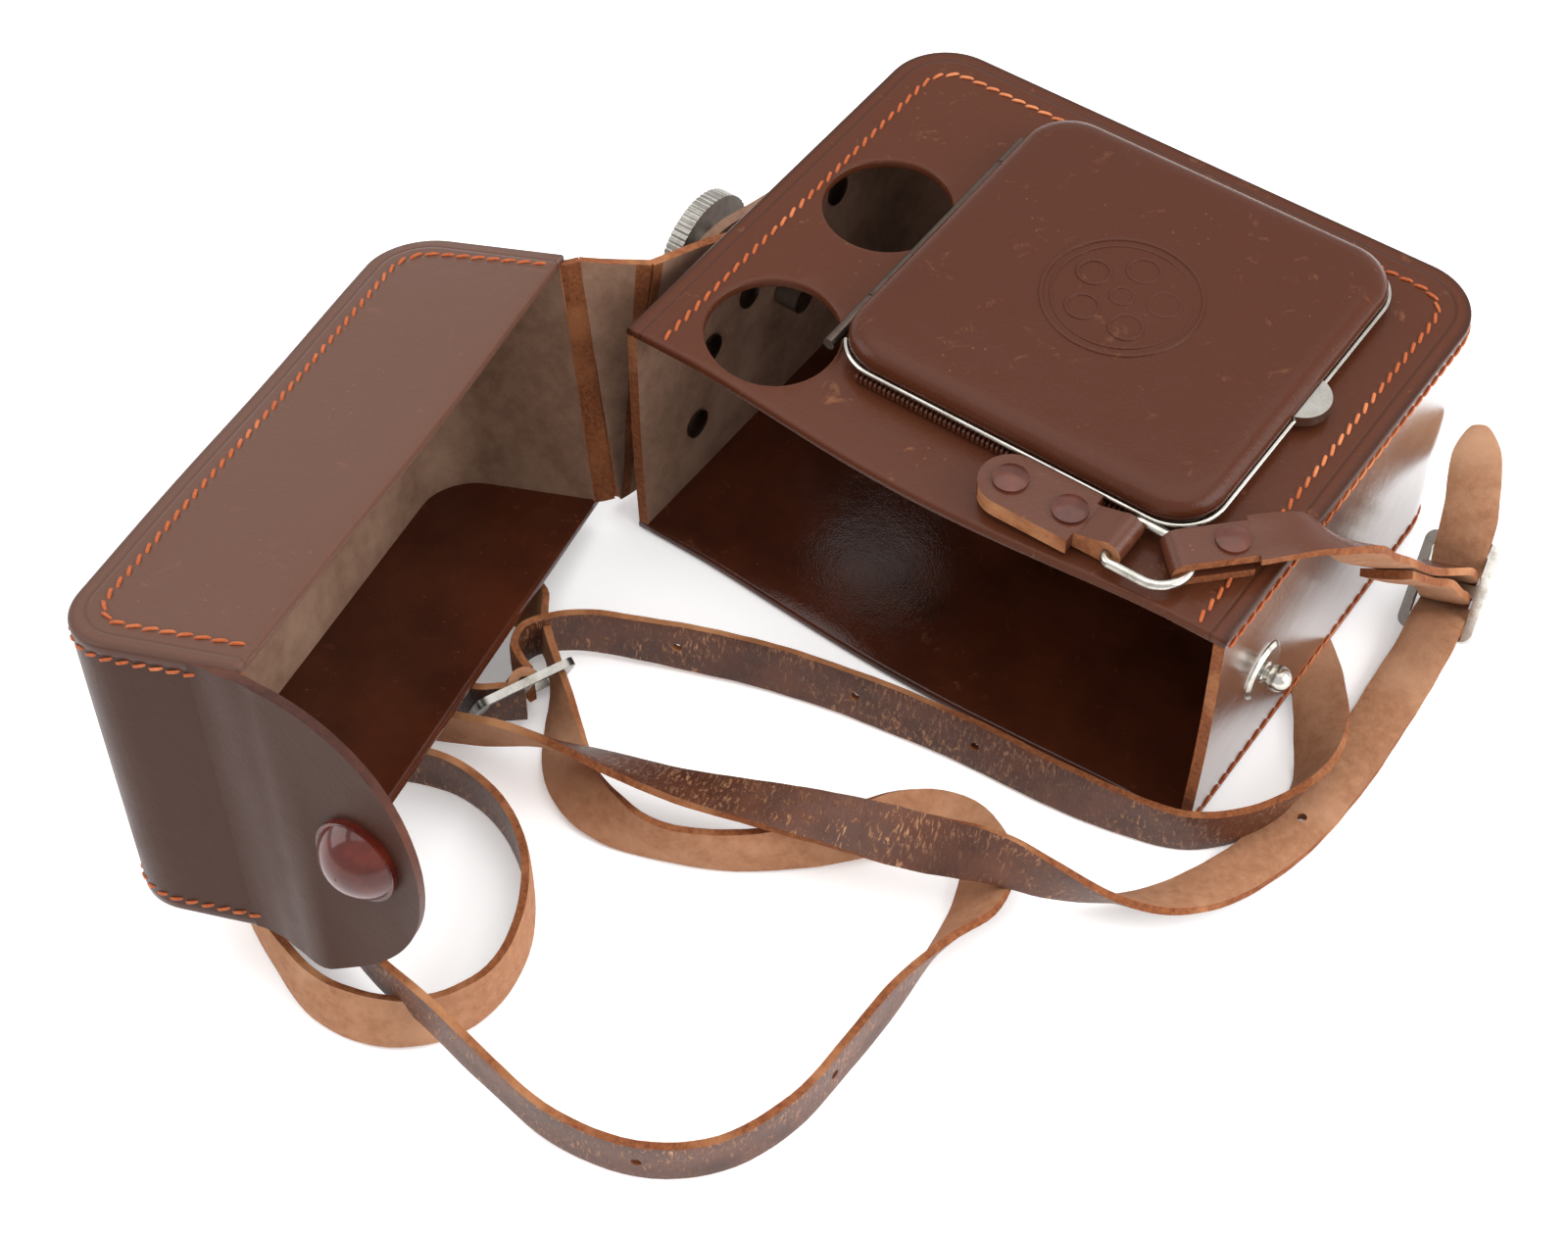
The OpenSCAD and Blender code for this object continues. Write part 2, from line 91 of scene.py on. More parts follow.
class Graph:
    """A small helper that wires one material's nodes."""

    def __init__(self, name):
        self.mat = bpy.data.materials.new(name)
        self.mat.use_nodes = True
        self.tree = self.mat.node_tree
        self.bsdf = self.tree.nodes["Principled BSDF"]
        self.coords = self.tree.nodes.new("ShaderNodeTexCoord").outputs["Object"]

    def put(self, kind, inputs=None, **props):
        """Adds a node; an input is a value or another node's output."""
        n = self.tree.nodes.new(kind)
        for k, v in props.items():
            setattr(n, k, v)
        for k, v in (inputs or {}).items():
            self.set(n.inputs[k], v)
        return n

    def set(self, socket, v):
        if isinstance(v, bpy.types.NodeSocket):
            self.tree.links.new(v, socket)
        else:
            socket.default_value = v

    def math(self, op, a, b=0.0, clamp=False):
        return self.put("ShaderNodeMath", {0: a, 1: b}, operation=op, use_clamp=clamp).outputs[0]

    def noise(self, scale, detail=4.0, rough=0.55, vector=None, distort=0.0):
        return self.put(
            "ShaderNodeTexNoise",
            {"Vector": vector or self.coords, "Scale": scale, "Detail": detail,
             "Roughness": rough, "Distortion": distort},
        ).outputs["Fac"]

    def cells(self, scale, feature="DISTANCE_TO_EDGE"):
        return self.put(
            "ShaderNodeTexVoronoi", {"Vector": self.coords, "Scale": scale}, feature=feature
        ).outputs["Distance"]

    def remap(self, v, a, b, c=0.0, d=1.0):
        """Carries a to b onto c to d, and holds at the ends."""
        return self.put(
            "ShaderNodeMapRange",
            {"Value": v, "From Min": a, "From Max": b, "To Min": c, "To Max": d},
        ).outputs[0]

    def mix(self, f, a, b):
        """Colour a where f is 0, b where it is 1."""
        n = self.put("ShaderNodeMix", data_type="RGBA")
        self.set(n.inputs[0], f)
        self.set(n.inputs[6], a)
        self.set(n.inputs[7], b)
        return n.outputs[2]

    def bump(self, height, strength, distance):
        n = self.put("ShaderNodeBump", {"Height": height, "Strength": strength, "Distance": distance})
        self.set(self.bsdf.inputs["Normal"], n.outputs[0])

    def finish(self, **inputs):
        """Sets the shader's inputs, with _ for a space in their names."""
        for k, v in inputs.items():
            self.set(self.bsdf.inputs[k.replace("_", " ")], v)
        return self.mat


# Pressed border of a panel: how far inside its outline each line lies, and how wide it is
CREASE_AT, CREASE_WIDTH = 3.1, 0.5
TRENCH_AT, TRENCH_WIDTH = 6.2, 1.0
DARK_EDGE_FROM, DARK_EDGE_TO = 0.2, 1.7


def border(g, half_x, half_y, r, cx, cy):
    """Distance inside a rounded outline, in metres, in the piece's own plane."""
    sep = g.put("ShaderNodeSeparateXYZ", {0: g.coords})
    parts = []
    for out, c, h in ((0, cx, half_x), (1, cy, half_y)):
        a = g.math("ABSOLUTE", g.math("SUBTRACT", sep.outputs[out], c * MM))
        parts.append(g.math("MAXIMUM", g.math("SUBTRACT", a, (h - r) * MM), 0.0))
    far = g.math("SQRT", g.math("ADD", g.math("POWER", parts[0], 2.0), g.math("POWER", parts[1], 2.0)))
    return g.math("SUBTRACT", r * MM, far)


def line_mask(g, d, at, width):
    """1 on the line that lies `at` mm inside the outline, fading to 0 over `width` mm."""
    off = g.math("ABSOLUTE", g.math("SUBTRACT", d, at * MM))
    return g.remap(off, 0.0, width * MM, 1.0, 0.0)


def leather(name, base, dark, worn, rough, grain=0.12, scuffs=0.5, outline=None, gloss=0.15, coat=0.0,
            blotches=0.45):
    """Grained leather with blotches, scuffs and specks, and a pressed border where it has an outline."""
    g = Graph(name)
    blotch = g.math("ADD", g.math("MULTIPLY", g.noise(38, 5, 0.6), blotches), 1 - blotches)
    fine = g.noise(900, 3, 0.6)
    colour = g.mix(g.remap(blotch, 0.3, 0.72), dark, base)
    scuff = g.remap(g.noise(160, 8, 0.75, distort=0.6), 0.60, 0.74)
    scuff = g.math("MULTIPLY", scuff, scuffs, clamp=True)
    colour = g.mix(scuff, colour, worn)
    specks = g.math("MULTIPLY", g.remap(g.cells(420, "F1"), 0.12, 0.04), g.remap(g.noise(60), 0.52, 0.62))
    colour = g.mix(g.math("MULTIPLY", specks, 0.35, clamp=True), colour, worn)
    height = g.math("ADD", g.math("MULTIPLY", g.cells(1500), -0.5), g.math("MULTIPLY", fine, 0.6))
    height = g.math("ADD", height, g.math("MULTIPLY", g.noise(70, 3), 3.0))
    height = g.math("SUBTRACT", height, g.math("MULTIPLY", scuff, 0.5))
    if outline:
        d = border(g, *outline)
        crease = line_mask(g, d, CREASE_AT, CREASE_WIDTH)
        trench = line_mask(g, d, TRENCH_AT, TRENCH_WIDTH)
        edge = g.remap(d, DARK_EDGE_FROM * MM, DARK_EDGE_TO * MM, 1.0, 0.0)
        height = g.math("SUBTRACT", height, g.math("MULTIPLY", crease, 2.2))
        height = g.math("SUBTRACT", height, g.math("MULTIPLY", trench, 1.6))
        colour = g.mix(g.math("MULTIPLY", crease, 0.55), colour, dark)
        colour = g.mix(g.math("MULTIPLY", edge, 0.8, clamp=True), colour, dark)
    g.bump(height, grain * 2.2, 0.00022)
    patches = g.math("ADD", g.math("MULTIPLY", g.noise(120, 5), 0.5), scuff)
    roughness = g.remap(patches, 0.2, 0.9, rough - 0.05, rough + 0.28)
    return g.finish(Base_Color=colour, Roughness=roughness, Specular_IOR_Level=gloss, Coat_Weight=coat,
                    Coat_Roughness=0.16)


def fuzzy(name, base, dark, light, strength, scale=260, rough=0.92):
    """Suede, a cut edge or thread: a matt nap."""
    g = Graph(name)
    f = g.noise(scale, 8, 0.75)
    soft = g.noise(45, 4)
    colour = g.mix(g.remap(f, 0.35, 0.68), dark, base)
    colour = g.mix(g.remap(soft, 0.5, 0.75), colour, light)
    g.bump(g.math("ADD", f, g.math("MULTIPLY", g.noise(scale * 5, 2), 0.4)), strength, 0.0003)
    return g.finish(Base_Color=colour, Roughness=rough, Specular_IOR_Level=0.2)


def metal(name, tint, rough):
    """Worn plate whose tarnish is darker and browner than its tint."""
    g = Graph(name)
    wear = g.noise(300, 6, 0.7)
    tarnish = (tint[0] * 0.55, tint[1] * 0.52, tint[2] * 0.46, 1)
    colour = g.mix(g.remap(wear, 0.45, 0.75), tint, tarnish)
    g.bump(wear, 0.05, 0.0001)
    roughness = g.remap(wear, 0.3, 0.8, rough - 0.06, rough + 0.14)
    return g.finish(Base_Color=colour, Metallic=1.0, Roughness=roughness)


def strap_grain(name):
    """Grain side of a worn strap, creased across. Its UV map is in metres, along and across."""
    g = Graph(name)
    uv = g.tree.nodes.new("ShaderNodeTexCoord").outputs["UV"]
    squeezed = g.put("ShaderNodeMapping", {"Vector": uv, "Scale": (1.0, 0.33, 1.0)}).outputs[0]
    crease = g.noise(1500, 5, 0.7, vector=squeezed, distort=0.8)
    lines = g.remap(crease, 0.53, 0.62)
    rubbed = g.remap(g.noise(60, 4, 0.6, vector=uv), 0.36, 0.6)
    tone = g.remap(g.noise(110, 4, vector=uv), 0.3, 0.7)
    cracks = g.math("MULTIPLY", g.math("MULTIPLY", lines, rubbed), 0.85, clamp=True)
    colour = g.mix(tone, srgb(62, 32, 20), srgb(90, 50, 32))
    colour = g.mix(cracks, colour, srgb(176, 126, 90))
    swell = g.math("MULTIPLY", g.noise(700, 3, 0.6, vector=squeezed), 0.8)
    g.bump(g.math("SUBTRACT", swell, g.math("MULTIPLY", lines, 0.5)), 0.6, 0.0004)
    return g.finish(Base_Color=colour, Roughness=0.4, Specular_IOR_Level=0.35)


def enamel(name, light, dark, rough, coat):
    """Glossy enamel on a pressed cap."""
    g = Graph(name)
    colour = g.mix(g.remap(g.noise(200, 4), 0.4, 0.7), dark, light)
    g.bump(g.noise(90, 2), 0.04, 0.0003)
    return g.finish(Base_Color=colour, Roughness=rough, Coat_Weight=coat, Coat_Roughness=0.05,
                    Specular_IOR_Level=0.3)


BASE = srgb(75, 39, 24)
DARK = srgb(45, 22, 13)
WORN = srgb(150, 100, 68)
OUTLINE_REACH = 90
case_outline = (CASE_L / 2, OUTLINE_REACH, CASE_R, CASE_L / 2, CASE_D - OUTLINE_REACH)
lid_outline = (CASE_L / 2, OUTLINE_REACH, LID_R, CASE_L / 2, OUTLINE_REACH - LID_D)
case_grain = leather("case_grain", BASE, DARK, WORN, rough=0.3, outline=case_outline)
wall_grain = leather("wall_grain", srgb(66, 36, 26), srgb(44, 23, 16), WORN, rough=0.16, scuffs=0.2,
                     gloss=0.6, coat=0.9)
tab_grain = leather("tab_grain", srgb(80, 43, 28), srgb(50, 26, 17), WORN, rough=0.3, scuffs=0.3, gloss=0.3)
lid_grain = leather("lid_grain", srgb(88, 60, 49), srgb(70, 46, 37), WORN, rough=0.36, scuffs=0.2,
                    outline=lid_outline)
flap_grain = leather("flap_grain", srgb(60, 36, 27), srgb(47, 27, 20), srgb(88, 60, 48), rough=0.4,
                     scuffs=0.1, gloss=0.1)
door_grain = leather("door_grain", srgb(70, 35, 21), srgb(50, 24, 15), WORN, rough=0.27, grain=0.16,
                     scuffs=0.3)
oxblood = leather("oxblood_lining", srgb(74, 34, 19), srgb(26, 13, 9), srgb(140, 84, 54), rough=0.2,
                  scuffs=0.3, gloss=0.28, blotches=0.8)
suede = fuzzy("suede_lining", srgb(132, 102, 84), srgb(110, 83, 67), srgb(146, 117, 97), strength=0.35)
cut_edge = fuzzy("cut_edge", srgb(146, 88, 52), srgb(98, 52, 30), srgb(182, 130, 90), scale=900,
                 strength=0.8)
dark_edge = fuzzy("burnished_edge", srgb(66, 33, 22), srgb(44, 20, 13), srgb(96, 54, 38), scale=700,
                  strength=0.3, rough=0.42)
fold_fuzz = fuzzy("fold_groove", srgb(132, 78, 44), srgb(84, 44, 24), srgb(150, 96, 60), scale=1300,
                  strength=1.0)
flesh = fuzzy("strap_flesh", srgb(166, 120, 90), srgb(142, 98, 70), srgb(182, 140, 110), scale=500,
              strength=0.5)
strap_face = strap_grain("strap_grain")
thread = fuzzy("thread", srgb(190, 102, 58), srgb(140, 64, 32), srgb(214, 134, 88), scale=2600,
               strength=0.6, rough=0.7)
nickel = metal("nickel", (0.50, 0.48, 0.44, 1), 0.2)
dull_nickel = metal("dull_nickel", (0.30, 0.285, 0.26, 1), 0.32)
dark_metal = metal("dark_metal", (0.10, 0.075, 0.06, 1), 0.35)
old_brass = metal("old_brass", (0.45, 0.33, 0.15, 1), 0.3)
cap_red = enamel("cap_enamel", srgb(94, 33, 22), srgb(66, 20, 13), 0.14, 0.2)
cap_brown = enamel("rivet_enamel", srgb(92, 46, 32), srgb(64, 30, 22), 0.3, 0.1)


# ---------------------------------------------------------------- mesh helpers
def make(name, verts, faces, mats, indices=None, matrix=WORLD, smooth=True):
    """A piece from points in mm, in the frame that `matrix` places."""
    mesh = bpy.data.meshes.new(name)
    mesh.from_pydata([Vector(v) * MM for v in verts], [], faces)
    for m in mats:
        mesh.materials.append(m)
    if indices:
        mesh.polygons.foreach_set("material_index", indices)
    if smooth:
        mesh.polygons.foreach_set("use_smooth", [True] * len(mesh.polygons))
    mesh.validate()
    obj = bpy.data.objects.new(name, mesh)
    obj.matrix_world = matrix
    scene.collection.objects.link(obj)
    return obj


SHARP_ANGLE = math.radians(40)
SPLINE_STEPS = 6


def clean(obj):
    """Turns a piece's faces outward and keeps its sharp edges sharp."""
    bm = bmesh.new()
    bm.from_mesh(obj.data)
    bmesh.ops.recalc_face_normals(bm, faces=bm.faces)
    for e in bm.edges:
        if len(e.link_faces) == 2 and e.calc_face_angle(0) > SHARP_ANGLE:
            e.smooth = False
    bm.to_mesh(obj.data)
    bm.free()
    return obj


def shell_faces(rows, cols, grooves=()):
    """Faces of two grids of rows x cols points, one over the other, closed round their edges.
    Material 0 is on the first grid, 1 on the second, 2 on the edge and 3 near the groove rows."""
    faces, index = [], []
    block = rows * cols
    for layer in (0, 1):
        for i in range(rows - 1):
            worn = any(abs(i - k) <= 2 for k in grooves)
            for j in range(cols - 1):
                p = layer * block + i * cols + j
                faces.append((p, p + 1, p + cols + 1, p + cols))
                index.append(3 if worn else layer)
    for i in range(rows - 1):
        for j in (0, cols - 1):
            p = i * cols + j
            faces.append((p, p + cols, p + cols + block, p + block))
            index.append(2)
    for j in range(cols - 1):
        for i in (0, rows - 1):
            p = i * cols + j
            faces.append((p, p + 1, p + 1 + block, p + block))
            index.append(2)
    return faces, index


def loft_faces(rings, sides, base=0):
    """Faces of a tube of rings of points that starts at point `base`, closed at both ends."""
    faces = []
    for i in range(rings - 1):
        p, q = base + i * sides, base + (i + 1) * sides
        for j in range(sides):
            k = (j + 1) % sides
            faces.append((p + j, p + k, q + k, q + j))
    faces.append(tuple(base + j for j in reversed(range(sides))))
    faces.append(tuple(base + (rings - 1) * sides + j for j in range(sides)))
    return faces


def arc(cx, cy, r, a0, a1, n):
    """Points on an arc from angle a0 to a1, in degrees, in n equal steps."""
    angles = [math.radians(a0 + (a1 - a0) * k / n) for k in range(n + 1)]
    return [(cx + r * math.cos(a), cy + r * math.sin(a)) for a in angles]


def rounded(half, r, n, cx=0, cy=0):
    """A square with rounded corners, each corner in n steps."""
    h = half - r
    return (
        arc(cx + h, cy + h, r, 0, 90, n) + arc(cx - h, cy + h, r, 90, 180, n)
        + arc(cx - h, cy - h, r, 180, 270, n) + arc(cx + h, cy - h, r, 270, 360, n)
    )


def resample(points, step):
    """Evenly spaced points along a polyline of any dimension."""
    pts = [Vector(p) for p in points]
    out, carry = [pts[0].copy()], 0.0
    total = sum((b - a).length for a, b in zip(pts, pts[1:]))
    n = max(1, round(total / step))
    step = total / n
    for a, b in zip(pts, pts[1:]):
        seg = (b - a).length
        t = step - carry
        while t <= seg + 1e-9:
            out.append(a.lerp(b, t / seg))
            t += step
        carry = seg - (t - step)
    if len(out) <= n:
        out.append(pts[-1].copy())
    return out[: n + 1]


PLATE_BEVEL = 0.75
PLATE_GRID = 4.0
FLAT_FACING = 0.75
RAW_EDGE_REACH = 1.3


def plate_material(face):
    """0 above, 1 below, 3 on the raw edge at the opening and 2 on the other edges."""
    if face.normal.z > FLAT_FACING:
        return 0
    if face.normal.z < -FLAT_FACING:
        return 1
    return 3 if abs(face.calc_center_median().y) < RAW_EDGE_REACH else 2


def plate(name, outline, holes, z0, mats, matrix=WORLD, move=None):
    """A leather panel cut to an outline, with rounded edges, and bent by `move`.
    mats are the upper face, the under face, the edge and the raw edge at the opening."""
    curve = bpy.data.curves.new(name + "_c", "CURVE")
    curve.dimensions = "2D"
    curve.fill_mode = "BOTH"
    curve.extrude = THICK / 2 - PLATE_BEVEL
    curve.bevel_depth = PLATE_BEVEL
    curve.bevel_resolution = 3
    curve.offset = -PLATE_BEVEL
    for ring in [outline] + holes:
        s = curve.splines.new("POLY")
        s.points.add(len(ring) - 1)
        for p, q in zip(s.points, ring):
            p.co = (q[0], q[1], 0, 1)
        s.use_cyclic_u = True
    tmp = bpy.data.objects.new(name + "_c", curve)
    scene.collection.objects.link(tmp)
    bpy.context.view_layer.update()
    mesh = bpy.data.meshes.new_from_object(tmp.evaluated_get(bpy.context.evaluated_depsgraph_get()))
    bpy.data.objects.remove(tmp)
    bpy.data.curves.remove(curve)
    bm = bmesh.new()
    bm.from_mesh(mesh)
    bmesh.ops.remove_doubles(bm, verts=bm.verts, dist=0.002)
    xs = [v.co.x for v in bm.verts]
    ys = [v.co.y for v in bm.verts]
    for axis, lo, hi in ((0, min(xs), max(xs)), (1, min(ys), max(ys))):
        n = max(1, int((hi - lo) / PLATE_GRID))
        for k in range(1, n):
            co = [0, 0, 0]
            no = [0, 0, 0]
            co[axis] = lo + (hi - lo) * k / n
            no[axis] = 1
            parts = bm.verts[:] + bm.edges[:] + bm.faces[:]
            bmesh.ops.bisect_plane(bm, geom=parts, plane_co=co, plane_no=no)
    bmesh.ops.recalc_face_normals(bm, faces=bm.faces)
    for f in bm.faces:
        f.smooth = True
        f.material_index = plate_material(f)
    for v in bm.verts:
        v.co.z += z0 + THICK / 2
        if move:
            v.co = Vector(move(*v.co))
        v.co *= MM
    bm.to_mesh(mesh)
    bm.free()
    mesh.name = name
    mesh.materials.clear()
    for m in mats:
        mesh.materials.append(m)
    obj = bpy.data.objects.new(name, mesh)
    obj.matrix_world = matrix
    scene.collection.objects.link(obj)
    return obj


WALL_ROWS = 14
WALL_STEP = 2.5


def wall(name, path, mats, matrix=WORLD, move=None):
    """A wall of leather along a path in plan. The path is its outer face.
    mats are the outer face, the inner face and the cut edge."""
    pts = [Vector(p) for p in resample([(x, y, 0) for x, y in path], WALL_STEP)]
    n = len(pts)
    verts = []
    for depth in (0.0, WALL_THICK):
        for j in range(WALL_ROWS + 1):
            z = WALL_LOW + (WALL_HIGH - WALL_LOW) * j / WALL_ROWS
            for i, p in enumerate(pts):
                t = (pts[min(i + 1, n - 1)] - pts[max(i - 1, 0)]).normalized()
                q = p + Vector((-t.y, t.x, 0)) * depth
                co = (q.x, q.y, z)
                verts.append(move(*co) if move else co)
    faces, index = shell_faces(WALL_ROWS + 1, n)
    return clean(make(name, verts, faces, mats, index, matrix))


STITCH_STEP, STITCH_LENGTH = 3.1, 3.25
STITCH_SLANT = 17
STITCH_RINGS, STITCH_SIDES = 6, 6


def stitches(name, path, up, matrix=WORLD, radius=0.38, move=None):
    """A row of sunk thread stitches along a path; `up` gives the way out of the leather at a point."""
    pts = resample(path, STITCH_STEP)
    verts, faces = [], []
    for a, b in zip(pts, pts[1:]):
        t = (b - a).normalized()
        mid = (a + b) / 2
        n = Vector(up(mid)).normalized()
        s = n.cross(t).normalized()
        slant = math.radians(STITCH_SLANT + rng.uniform(-4, 4))
        along = t * math.cos(slant) + s * math.sin(slant)
        run = along * (STITCH_LENGTH + rng.uniform(-0.2, 0.15)) / 2
        side = n.cross(run).normalized()
        faces += loft_faces(STITCH_RINGS + 1, STITCH_SIDES, len(verts))
        for i in range(STITCH_RINGS + 1):
            u = -1 + 2 * i / STITCH_RINGS
            r = radius * max(0.28, math.sqrt(max(0.0, 1 - u ** 4)))
            centre = mid + run * u + n * (0.2 - 0.4 * u ** 4)
            for j in range(STITCH_SIDES):
                w = 2 * math.pi * j / STITCH_SIDES
                p = centre + side * (r * math.cos(w)) + n * (r * math.sin(w) * 0.85)
                verts.append(move(*p) if move else p)
    return make(name, verts, faces, [thread], matrix=matrix)


def spline(points):
    """Catmull-Rom through the points, any dimension."""
    p = [list(q) for q in points]
    out = []
    for i in range(len(p) - 1):
        a, b, c, d = p[max(i - 1, 0)], p[i], p[i + 1], p[min(i + 2, len(p) - 1)]
        for k in range(SPLINE_STEPS):
            t = k / SPLINE_STEPS
            out.append([
                0.5 * (2 * b[m] + (c[m] - a[m]) * t + (2 * a[m] - 5 * b[m] + 4 * c[m] - d[m]) * t * t
                       + (3 * b[m] - a[m] - 3 * c[m] + d[m]) * t ** 3)
                for m in range(len(b))
            ])
    out.append(p[-1])
    return out


STRAP_THICK = 1.8
STRAP_COLS = 7
STRAP_CURL = 0.16
STRAP_RIPPLE = 0.12
HOLE_RADIUS = 0.95
HOLE_SIDES = 14


def strap(name, route, width, face, holes=(), point_start=0.0):
    """A flat strap carried along a route of x, y, z and the roll of its grain side.
    Gives the piece, its centre line and its length in metres."""
    line = spline(route)
    n = len(line)
    centre = [Vector(q[:3]) for q in line]
    gone = [0.0]
    for a, b in zip(centre, centre[1:]):
        gone.append(gone[-1] + (b - a).length)
    h = STRAP_THICK / 2
    section = [(-1 + 2 * i / STRAP_COLS, h) for i in range(STRAP_COLS + 1)]
    section += [(1 - 2 * i / STRAP_COLS, -h) for i in range(STRAP_COLS + 1)]
    m = len(section)
    verts = []
    for i, q in enumerate(line):
        t = (centre[min(i + 1, n - 1)] - centre[max(i - 1, 0)]).normalized()
        s = t.cross(Vector((0, 0, 1))).normalized()
        u = s.cross(t)
        a = math.radians(q[3])
        wide = u * math.cos(a) - s * math.sin(a)
        top = s * math.cos(a) + u * math.sin(a)
        half = width / 2 * (1 + 0.012 * math.sin(gone[i] * 0.31) + 0.008 * math.sin(gone[i] * 0.83 + 1))
        if gone[i] < point_start:
            half *= 0.30 + 0.70 * math.sin(math.pi / 2 * gone[i] / point_start) ** 0.8
        ripple = STRAP_RIPPLE * math.sin(gone[i] * 0.21 + 2)
        for x, y in section:
            curl = STRAP_CURL * (x * x - 0.4)
            soft = 0.82 if abs(x) > 0.99 else 1.0
            verts.append(centre[i] + wide * (x * half) + top * (y * soft + curl + ripple * x * 0.3))
    around = [0] * STRAP_COLS + [2] + [1] * STRAP_COLS + [2]
    index = around * (n - 1) + [2, 2]
    obj = make(name, verts, loft_faces(n, m), [face, flesh, cut_edge], index)
    uv = obj.data.uv_layers.new(name="strap")
    for loop in obj.data.loops:
        i, j = divmod(loop.vertex_index, m)
        uv.data[loop.index].uv = (gone[i] * MM, section[j][0] * width / 2 * MM)
    clean(obj)
    if holes:
        pierce(obj, hole_frames(line, centre, holes))
    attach(obj, "case")
    return obj, [c * MM for c in centre], gone[-1] * MM


def hole_frames(line, centre, holes):
    """Where each punched hole goes through: a point and the way through the strap."""
    for at in holes:
        i = min(range(len(centre)), key=lambda k: (centre[k].xy - Vector(at)).length)
        t = (centre[min(i + 1, len(centre) - 1)] - centre[max(i - 1, 0)]).normalized()
        s = t.cross(Vector((0, 0, 1))).normalized()
        a = math.radians(line[i][3])
        yield centre[i], s * math.cos(a) + s.cross(t) * math.sin(a)


def pierce(obj, holes):
    """Punches slightly ragged round holes through a piece."""
    verts, faces = [], []
    for p, way in holes:
        a = way.orthogonal().normalized()
        b = way.cross(a).normalized()
        faces += loft_faces(2, HOLE_SIDES, len(verts))
        for d in (-3, 3):
            for k in range(HOLE_SIDES):
                w = 2 * math.pi * k / HOLE_SIDES
                out = a * math.cos(w) + b * math.sin(w)
                verts.append(p + way * d + out * HOLE_RADIUS * rng.uniform(0.92, 1.12))
    cutter = make("cutter", verts, faces, list(obj.data.materials), [2] * len(faces), smooth=False)
    clean(cutter)
    mod = obj.modifiers.new("holes", "BOOLEAN")
    mod.operation = "DIFFERENCE"
    mod.solver = "EXACT"
    mod.object = cutter
    bpy.context.view_layer.update()
    done = bpy.data.meshes.new_from_object(obj.evaluated_get(bpy.context.evaluated_depsgraph_get()))
    obj.modifiers.clear()
    obj.data = done
    bpy.data.objects.remove(cutter)


